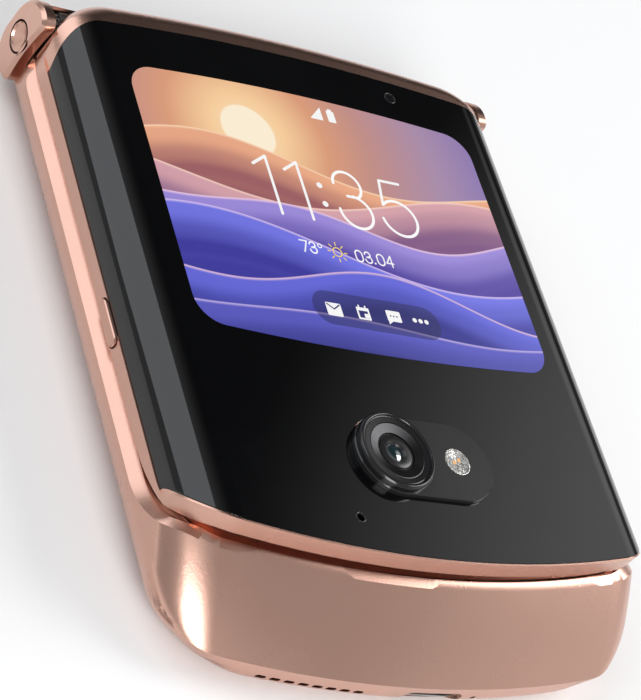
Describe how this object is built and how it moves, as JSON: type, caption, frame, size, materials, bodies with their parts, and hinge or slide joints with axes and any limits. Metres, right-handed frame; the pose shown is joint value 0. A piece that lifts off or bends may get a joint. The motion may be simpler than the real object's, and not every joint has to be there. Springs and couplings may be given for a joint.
{
  "type": "clamshell phone",
  "caption": "Slim phone that folds in half on a geared two-axis hinge, with a flexible inner screen, an outer display under curved glass, a raised camera and a rounded chin.",
  "frame": {"origin": "middle of the footprint at the lowest point, on the plane that the closed phone rests on", "axes": "+Z out of the outer glass, +Y towards the hinge and along the longest side, X across the phone"},
  "size_m": [0.0726, 0.0918, 0.0177],
  "materials": {
    "rose_metal": "bead-blasted and anodised, satin",
    "keys": "anodised, fine hatch on the power key",
    "back_glass": "polished black",
    "sensor_black": "smoked black window",
    "cover_glass": "glossy black cover glass",
    "outer_screen": "display under glass",
    "camera_black": "polished black",
    "ring_black": "satin black with a bright chamfer",
    "lens_glass": "coated lens glass",
    "led_yellow": "phosphor yellow",
    "inner_screen": "glossy flexible panel",
    "bezel_black": "matt black",
    "magnesium": "plain cast plate",
    "battery_wrap": "black film",
    "board_green": "solder mask",
    "module_black": "moulded",
    "port_steel": "plated",
    "hinge_steel": "dark sintered steel",
    "screw_steel": "plated"
  },
  "bodies": {
    "base": {"base_frame": "rose_metal", "back_cover": "back_glass", "fingerprint_sensor": "sensor_black", "base_midplate": "magnesium", "base_battery": "battery_wrap", "base_board": "board_green", "usb_c_port": "port_steel", "speaker_module": "module_black", "bottom_microphone": "module_black", "vibration_motor": "port_steel", "base_hinge_bracket_left": "hinge_steel", "base_hinge_bracket_right": "hinge_steel", "base_gears": "hinge_steel", "screen_base": "inner_screen", "base_bezel": "bezel_black", "base_screws": "screw_steel"},
    "spine": {"hinge_cover": "rose_metal", "hinge_cap_left": "rose_metal", "hinge_cap_right": "rose_metal", "hinge_plate_left": "hinge_steel", "hinge_plate_right": "hinge_steel", "hinge_pins": "hinge_steel", "idler_shafts": "hinge_steel", "screen_bend": "inner_screen"},
    "lid": {"lid_frame": "rose_metal", "outer_glass": "cover_glass", "outer_display": "outer_screen", "camera_plate": "camera_black", "camera_ring": "ring_black", "camera_lens": "lens_glass", "camera_module": "camera_black", "flash_lens": "lens_glass", "flash_led": "led_yellow", "lid_microphone": "module_black", "light_sensor": "sensor_black", "lid_midplate": "magnesium", "lid_battery": "battery_wrap", "lid_board": "board_green", "earpiece": "module_black", "selfie_camera": "module_black", "lid_bezel": "bezel_black", "screen_lid": "inner_screen", "lid_hinge_bracket_left": "hinge_steel", "lid_hinge_bracket_right": "hinge_steel", "lid_gears": "hinge_steel", "key_switches": "module_black", "lid_screws": "screw_steel"},
    "idler_lower": {"idler_gears_lower": "hinge_steel"},
    "idler_upper": {"idler_gears_upper": "hinge_steel"},
    "power_button": {"power_key": "keys"},
    "volume_button": {"volume_key": "keys"}
  },
  "joints": [
    {"name": "spine_fold", "type": "hinge", "parent": "base", "child": "spine", "pos_m": [0, 0.04255, 0.0048], "axis": [-1, 0, 0], "range_deg": [0, 90], "deforming": ["screen_bend"]},
    {"name": "lid_fold", "type": "hinge", "parent": "spine", "child": "lid", "pos_m": [0, 0.04255, 0.0112], "axis": [-1, 0, 0], "range_deg": [0, 90]},
    {"name": "idler_lower_spin", "type": "hinge", "parent": "spine", "child": "idler_lower", "pos_m": [0, 0.04255, 0.00693], "axis": [-1, 0, 0], "range_deg": [0, 90]},
    {"name": "idler_upper_spin", "type": "hinge", "parent": "spine", "child": "idler_upper", "pos_m": [0, 0.04255, 0.00907], "axis": [-1, 0, 0], "range_deg": [-90, 0]},
    {"name": "power_press", "type": "slide", "parent": "lid", "child": "power_button", "axis": [1, 0, 0], "range_m": [0, 0.0003], "stiffness_N_per_m": 3000, "springref_m": -0.0001},
    {"name": "volume_press", "type": "slide", "parent": "lid", "child": "volume_button", "axis": [-1, 0, 0], "range_m": [0, 0.0003], "stiffness_N_per_m": 3000, "springref_m": -0.0001}
  ],
  "couplings": [
    {"joint": "lid_fold", "follows": "spine_fold", "ratio": 1},
    {"joint": "idler_lower_spin", "follows": "spine_fold", "ratio": 1},
    {"joint": "idler_upper_spin", "follows": "spine_fold", "ratio": -1}
  ]
}
